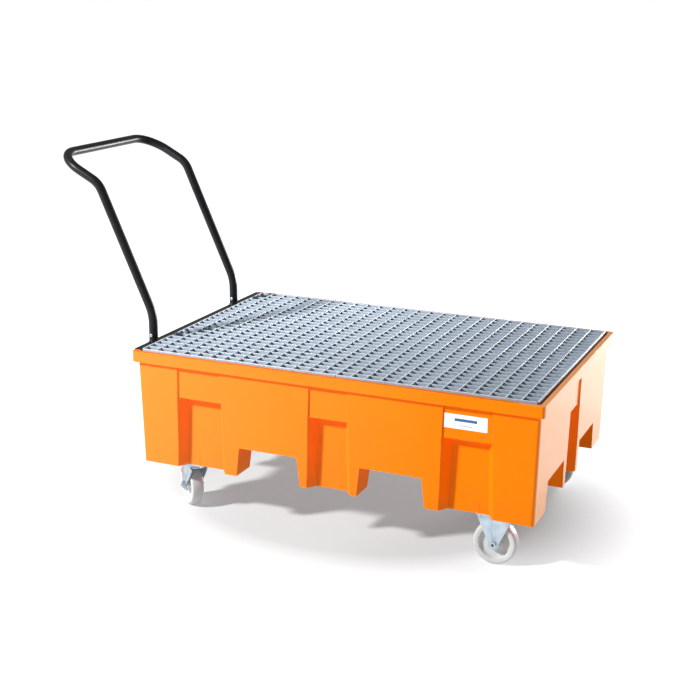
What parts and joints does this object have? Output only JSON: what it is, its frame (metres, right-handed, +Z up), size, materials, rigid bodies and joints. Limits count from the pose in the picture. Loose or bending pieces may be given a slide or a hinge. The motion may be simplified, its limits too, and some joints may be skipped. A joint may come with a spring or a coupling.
{
  "type": "mobile spill pallet",
  "caption": "Moulded spill tray trolley for drums, with a lift-out steel grating, fork channels under it, a bent tube push handle, and fixed and swivel casters.",
  "frame": {"origin": "on the floor, under the middle of the trolley's box", "axes": "+X is the pushing direction, away from the handle; +Z is up"},
  "size_m": [1.5824, 0.815, 1.0434],
  "materials": {
    "orange_pe": "moulded orange polyethylene, satin, faint orange-peel texture, scuffed feet",
    "galvanised_steel": "hot-dip galvanised, bright blue-grey with spangle",
    "black_coat": "black powder coat, semi-gloss",
    "zinc_plate": "bright blue zinc plating",
    "white_nylon": "white polyamide, turned and slightly translucent",
    "label_film": "plain white self-adhesive film"
  },
  "bodies": {
    "chassis": {"sump_tray": "orange_pe", "label_plate": "label_film", "handle_mount_angle": "black_coat", "push_handle": "black_coat", "handle_spigot_right": "black_coat", "handle_screw_right": "zinc_plate", "handle_bolt_right": "zinc_plate", "handle_spigot_left": "black_coat", "handle_screw_left": "zinc_plate", "handle_bolt_left": "zinc_plate", "plate_bolt_front_right_1": "zinc_plate", "plate_bolt_front_right_2": "zinc_plate", "plate_bolt_front_right_3": "zinc_plate", "plate_bolt_front_right_4": "zinc_plate", "fixed_fork_front_right": "zinc_plate", "axle_bush_front_right": "zinc_plate", "axle_bolt_front_right": "zinc_plate", "axle_nut_front_right": "zinc_plate", "plate_bolt_front_left_1": "zinc_plate", "plate_bolt_front_left_2": "zinc_plate", "plate_bolt_front_left_3": "zinc_plate", "plate_bolt_front_left_4": "zinc_plate", "fixed_fork_front_left": "zinc_plate", "axle_bush_front_left": "zinc_plate", "axle_bolt_front_left": "zinc_plate", "axle_nut_front_left": "zinc_plate", "plate_bolt_rear_right_1": "zinc_plate", "plate_bolt_rear_right_2": "zinc_plate", "plate_bolt_rear_right_3": "zinc_plate", "plate_bolt_rear_right_4": "zinc_plate", "top_plate_rear_right": "zinc_plate", "ball_race_rear_right": "zinc_plate", "kingpin_rear_right": "zinc_plate", "plate_bolt_rear_left_1": "zinc_plate", "plate_bolt_rear_left_2": "zinc_plate", "plate_bolt_rear_left_3": "zinc_plate", "plate_bolt_rear_left_4": "zinc_plate", "top_plate_rear_left": "zinc_plate", "ball_race_rear_left": "zinc_plate", "kingpin_rear_left": "zinc_plate"},
    "grating_panel": {"grating": "galvanised_steel"},
    "roller_front_right": {"wheel_front_right": "white_nylon"},
    "roller_front_left": {"wheel_front_left": "white_nylon"},
    "swivel_rear_right": {"swivel_fork_rear_right": "zinc_plate", "axle_bush_rear_right": "zinc_plate", "axle_bolt_rear_right": "zinc_plate", "axle_nut_rear_right": "zinc_plate"},
    "roller_rear_right": {"wheel_rear_right": "white_nylon"},
    "swivel_rear_left": {"swivel_fork_rear_left": "zinc_plate", "axle_bush_rear_left": "zinc_plate", "axle_bolt_rear_left": "zinc_plate", "axle_nut_rear_left": "zinc_plate"},
    "roller_rear_left": {"wheel_rear_left": "white_nylon"}
  },
  "joints": [
    {"name": "grating_lift", "type": "slide", "parent": "chassis", "child": "grating_panel", "axis": [0, 0, 1], "range_m": [0, 0.4]},
    {"name": "wheel_front_right_spin", "type": "hinge", "parent": "chassis", "child": "roller_front_right", "pos_m": [0.64925, -0.3125, 0.0625], "axis": [0, 1, 0], "continuous": true},
    {"name": "wheel_front_left_spin", "type": "hinge", "parent": "chassis", "child": "roller_front_left", "pos_m": [0.64925, 0.3125, 0.0625], "axis": [0, 1, 0], "continuous": true},
    {"name": "swivel_rear_right_turn", "type": "hinge", "parent": "chassis", "child": "swivel_rear_right", "pos_m": [-0.29375, -0.3125, 0.155], "axis": [0, 0, 1], "continuous": true},
    {"name": "wheel_rear_right_spin", "type": "hinge", "parent": "swivel_rear_right", "child": "roller_rear_right", "pos_m": [-0.32199, -0.28707, 0.0625], "axis": [0.6691, 0.7431, 0], "continuous": true},
    {"name": "swivel_rear_left_turn", "type": "hinge", "parent": "chassis", "child": "swivel_rear_left", "pos_m": [-0.29375, 0.3125, 0.155], "axis": [0, 0, 1], "continuous": true},
    {"name": "wheel_rear_left_spin", "type": "hinge", "parent": "swivel_rear_left", "child": "roller_rear_left", "pos_m": [-0.33117, 0.3191, 0.0625], "axis": [0.1736, 0.9848, 0], "continuous": true}
  ]
}
